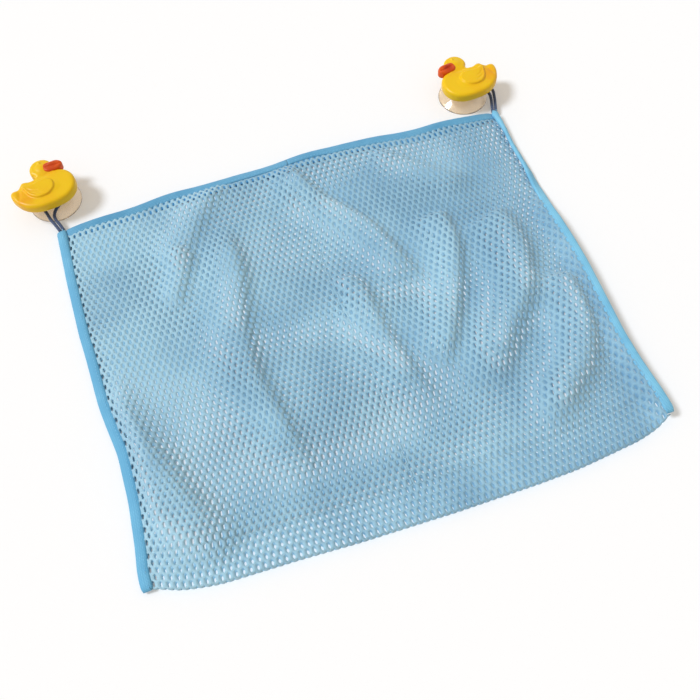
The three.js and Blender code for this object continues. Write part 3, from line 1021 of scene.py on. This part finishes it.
# %% A plate with rounded edges from its outline
def moulded_plate(bm, knots, low, high, rounding):
    """Add a plate to the mesh. Its outline is a smooth closed curve through the knots."""
    curve = bpy.data.curves.new("outline", "CURVE")
    curve.dimensions = "2D"
    curve.fill_mode = "BOTH"
    curve.resolution_u = 8
    curve.extrude = ((high - low) / 2 - rounding) * MM
    curve.bevel_depth = rounding * MM
    curve.bevel_resolution = 5
    curve.offset = -rounding * MM
    spline = curve.splines.new("BEZIER")
    spline.bezier_points.add(len(knots) - 1)
    spline.use_cyclic_u = True
    for knot, (x, y) in zip(spline.bezier_points, knots):
        knot.co = (x * MM, y * MM, 0)
        knot.handle_left_type = knot.handle_right_type = "AUTO"
    holder = bpy.data.objects.new("outline", curve)
    plate = holder.to_mesh()
    plate.transform(Matrix.Translation((0, 0, (low + high) / 2 * MM)))
    bm.from_mesh(plate)
    bpy.data.objects.remove(holder)
    bpy.data.curves.remove(curve)


# %% Fusing plates and lumps into one skin
GROOVE_STEPS = 8


def lump(bm, centre, radii, turn=0.0):
    place = Matrix.Translation(Vector(centre) * MM) @ Matrix.Rotation(math.radians(turn), 4, "Z")
    size = Matrix.Diagonal((*(r * MM for r in radii), 1))
    bmesh.ops.create_uvsphere(bm, u_segments=40, v_segments=24, radius=1, matrix=place @ size)


def fuse(bm, grain, relaxing):
    """One skin round all the lumps, with faces of about one grain in millimetres."""
    mesh = bpy.data.meshes.new("lumps")
    bm.to_mesh(mesh)
    bm.free()
    holder = bpy.data.objects.new("lumps", mesh)
    bpy.context.scene.collection.objects.link(holder)
    remesh = holder.modifiers.new("fuse", "REMESH")
    remesh.mode = "VOXEL"
    remesh.voxel_size = grain * MM
    skin = holder.evaluated_get(bpy.context.evaluated_depsgraph_get()).to_mesh()
    fused = bmesh.new()
    fused.from_mesh(skin)
    bpy.data.objects.remove(holder)
    bpy.data.meshes.remove(mesh)
    relax(fused, relaxing)
    return fused


def relax(bm, times):
    every_way = {"use_axis_x": True, "use_axis_y": True, "use_axis_z": True}
    for _ in range(times):
        bmesh.ops.smooth_vert(bm, verts=bm.verts, factor=0.5, **every_way)


def carve(bm, knots, depth, width):
    """Press a soft groove into the front of the moulding, along a smooth line."""
    line = flat_line(knots, GROOVE_STEPS)
    ends = np.sin(np.linspace(0, math.pi, len(line))) ** 0.5
    for vert in bm.verts:
        if vert.normal.z > 0.2:
            away = np.hypot(vert.co.x / MM - line[:, 0], vert.co.y / MM - line[:, 1])
            near = away.argmin()
            vert.co.z -= depth * ends[near] * math.exp(-((away[near] / width) ** 2)) * MM


# %% The duck's outlines, about the stem, facing +X, in millimetres
DUCK_OUTLINE = [
    (-8.1, 14.1), (-10.4, 18.3), (-10.6, 23.2), (-8.2, 28.5), (-3.4, 31.9), (2.4, 32.4),
    (7.9, 30), (11.2, 25.2), (11.7, 19.3), (10.4, 14.4), (14.1, 13.1), (19.4, 10.4),
    (23.4, 5.2), (25, -2.5), (23.8, -10), (19.7, -16.5), (13, -21), (5, -22.9), (-4.6, -23.1),
    (-13.5, -22.2), (-21.6, -19.3), (-28.3, -14.1), (-33, -6.8), (-35.5, 2.2), (-35, 5.5),
    (-32.6, 7.5), (-29.6, 7.6), (-26.8, 8), (-24.2, 10.8), (-22.1, 13.2), (-18.6, 13.2),
    (-13.5, 11.6),
]
WING_OUTLINE = [
    (5.5, -2), (0.8, -10.7), (-10, -13), (-14.9, -11), (-18.8, -6.7), (-21.2, -0.2),
    (-21.8, 7.4), (-20.4, 6.6), (-14.7, 4.6), (-6, 5.6), (2.4, 4.3),
]
BEAK_OUTLINE = [
    (3.4, 22.8), (10.9, 23.7), (17.6, 22.4), (20.7, 17.8), (17.2, 13.2), (10.6, 12.4),
    (3.4, 14.4), (2, 18.6),
]
# Each crease is its line, its depth and its width.
DUCK_CREASES = [
    ([(-10, 13), (-4, 11.4), (3, 11.2), (9, 12.6)], 1.1, 2.4),
    ([(-27.4, 8.2), (-27, 3), (-28.6, -3), (-31, -8)], 0.8, 1.8),
    ([(-20.6, 3), (-16, -2.6), (-9.5, -5)], 0.7, 0.9),
    ([(-18.6, -3.4), (-14, -7.2), (-8, -8.8)], 0.7, 0.9),
]
duck_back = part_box("left_duck_body")[0].z / MM
wing_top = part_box("left_duck_body")[1].z / MM
WING_PROUD = 1.2
duck_front = wing_top - WING_PROUD


# %% The duck and its beak
def duck_shape():
    bm = bmesh.new()
    moulded_plate(bm, DUCK_OUTLINE, duck_back, duck_front - 1.1, 3.4)
    lump(bm, (-5, -5, duck_front - 6.4), (27, 15.5, 6.6))
    lump(bm, (0.6, 21.4, duck_front - 6.4), (10.2, 10.2, 6.6))
    fused = fuse(bm, 0.7, 5)
    moulded_plate(fused, WING_OUTLINE, duck_front - 4, wing_top, 1)
    lump(fused, (1.2, 26.6, duck_front - 0.8), (1.5, 1.5, 1.5))
    fused = fuse(fused, 0.5, 3)
    fused.normal_update()
    for knots, depth, width in DUCK_CREASES:
        carve(fused, knots, depth, width)
    relax(fused, 1)
    return fused


def beak_shape():
    beak_low, beak_high = (corner.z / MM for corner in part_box("left_beak"))
    bm = bmesh.new()
    moulded_plate(bm, BEAK_OUTLINE, beak_low, beak_high - 0.7, 2.2)
    lump(bm, (11.5, 20.3, beak_high - 4.6), (9, 3.4, 4.7), -6)
    lump(bm, (10.8, 15.6, beak_high - 4.8), (8, 2.7, 4.3), 6)
    fused = fuse(bm, 0.4, 3)
    fused.normal_update()
    carve(fused, [(23, 17.6), (16, 17.1), (9, 18), (4.4, 18.8)], 1.2, 0.8)
    return fused


# %% Blush, placing and mirroring
def add_blush(bm, spots):
    """Keep how warm the moulding's colour is at each point, from round spots in plan."""
    layer = bm.verts.layers.float.new("blush")
    for vert in bm.verts:
        warm = 0.0
        for x, y, reach, strength in spots:
            away = math.hypot(vert.co.x / MM - x, vert.co.y / MM - y) / reach
            warm = max(warm, strength * math.exp(-(away**2)))
        vert[layer] = warm


def place_moulding(name, bm, side, turn, material):
    mirror = Matrix.Diagonal((-1 if side == "right" else 1, 1, 1, 1))
    axis = joint_place[side + "_duck_swivel"]
    turned = Matrix.Rotation(math.radians(turn), 4, "Z")
    place = Matrix.Translation((axis.x, axis.y, 0)) @ turned @ mirror
    bmesh.ops.transform(bm, matrix=place, verts=bm.verts)
    bmesh.ops.recalc_face_normals(bm, faces=bm.faces)
    piece = make_piece(name, bm, material)
    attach(piece, side + "_duck")
    return piece


# Each blush is its place, its reach and its strength.
DUCK_BLUSH = [(-25, -6, 10, 0.9), (-6, -15, 9, 0.25), (8, 14, 7, 0.6)]
BEAK_BLUSH = [(10, 18, 6, 1.0)]
for side, turn in (("left", 10), ("right", 5)):
    cup = turned_cup(side + "_cup_clear", joint_place[side + "_duck_swivel"])
    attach(cup, side + "_duck")
    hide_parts(side + "_cup")
    body, bill = duck_shape(), beak_shape()
    add_blush(body, DUCK_BLUSH)
    add_blush(bill, BEAK_BLUSH)
    duck = place_moulding(side + "_duck_moulding", body, side, turn, duck_pvc)
    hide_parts(side + "_duck_body")
    beak = place_moulding(side + "_beak_moulding", bill, side, turn, beak_pvc)
    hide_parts(side + "_beak")

# %% [markdown]
# ## Floor and light
#
# The photograph is a studio shot on white. The floor is white too, and for the camera it also
# glows a little, so that it reads as white while it still shows the object's soft shadows. Seen
# through a clear cup it glows more, in place of the light that the cup would let through. One
# broad, slightly cool sun from the upper left draws the folds, and an even, slightly warm world
# fills the shade. More lamps could do the same, but one keeps the folds' shading easy to read.


# %% White floor that keeps the shadow
FLOOR_WHITE = 0.81
FLOOR_GLOW = 0.2
GLOW_THROUGH_CUP = 0.12


def seen_rays(tree):
    """Which rays make the picture: from the camera, off gloss and through clear plastic."""
    rays = add_node(tree, "ShaderNodeLightPath")
    seen, through = rays.outputs["Is Camera Ray"], rays.outputs["Is Transmission Ray"]
    for other in (rays.outputs["Is Glossy Ray"], through):
        either = add_node(tree, "ShaderNodeMath", {0: seen, 1: other}, operation="MAXIMUM")
        seen = either.outputs["Value"]
    return seen, through


floor_white, tree, shader = new_material("white_paper_floor")
seen, through = seen_rays(tree)
extra = add_node(tree, "ShaderNodeMath", {0: through, 1: GLOW_THROUGH_CUP}, operation="MULTIPLY")
parts = {0: seen, 1: FLOOR_GLOW, 2: extra.outputs["Value"]}
glow = add_node(tree, "ShaderNodeMath", parts, operation="MULTIPLY_ADD")
feed(tree, shader, {
    "Base Color": (FLOOR_WHITE, FLOOR_WHITE, FLOOR_WHITE, 1), "Roughness": 0.9,
    "Specular IOR Level": 0.1, "Emission Color": (1, 1, 1, 1),
    "Emission Strength": glow.outputs["Value"],
})
bm = bmesh.new()
bmesh.ops.create_grid(bm, x_segments=4, y_segments=4, size=4)
floor = make_piece("floor", bm, floor_white)

# %% Sun
sun_data = bpy.data.lights.new("studio_key", "SUN")
sun_data.energy = 2.35
sun_data.angle = math.radians(16)
sun_data.color = (0.83, 0.90, 1.0)
sun = bpy.data.objects.new("studio_key", sun_data)
towards = Vector((0.61, -0.19, -0.77))
sun.rotation_mode = "QUATERNION"
sun.rotation_quaternion = towards.to_track_quat("-Z", "Y")
bpy.context.scene.collection.objects.link(sun)
print("sun from", [round(-c, 2) for c in towards])

# %% World and view
FILL = (0.51, 0.457, 0.39, 1.0)
world = bpy.data.worlds.new("studio_white")
bpy.context.scene.world = world
world.use_nodes = True
tree = world.node_tree
tree.nodes.clear()
seen, through = seen_rays(tree)
tone = add_node(tree, "ShaderNodeValToRGB", {"Fac": seen})
tone.color_ramp.elements[0].color = FILL
sky = add_node(tree, "ShaderNodeBackground", {"Color": tone.outputs["Color"]})
add_node(tree, "ShaderNodeOutputWorld", {"Surface": sky.outputs["Background"]})
bpy.context.scene.view_settings.view_transform = "Standard"
print("world:", world.name)

# %% [markdown]
# ## Light through the net
#
# Thin knitted yarn lets most of the light through, so on the real bag the lower layer is nearly
# as bright as the upper one. Translucent yarn could show that, but it renders slowly and with
# noise. So the upper layer simply casts no shadow, and the lower one keeps the bag's shadow.

# %% The upper layer casts no shadow
upper_layer = (front_left, front_right, bottom_turn, front_hem_left, front_hem_right)
for piece in upper_layer:
    piece.visible_shadow = False
print("no shadow from:", ", ".join(piece.name for piece in upper_layer))
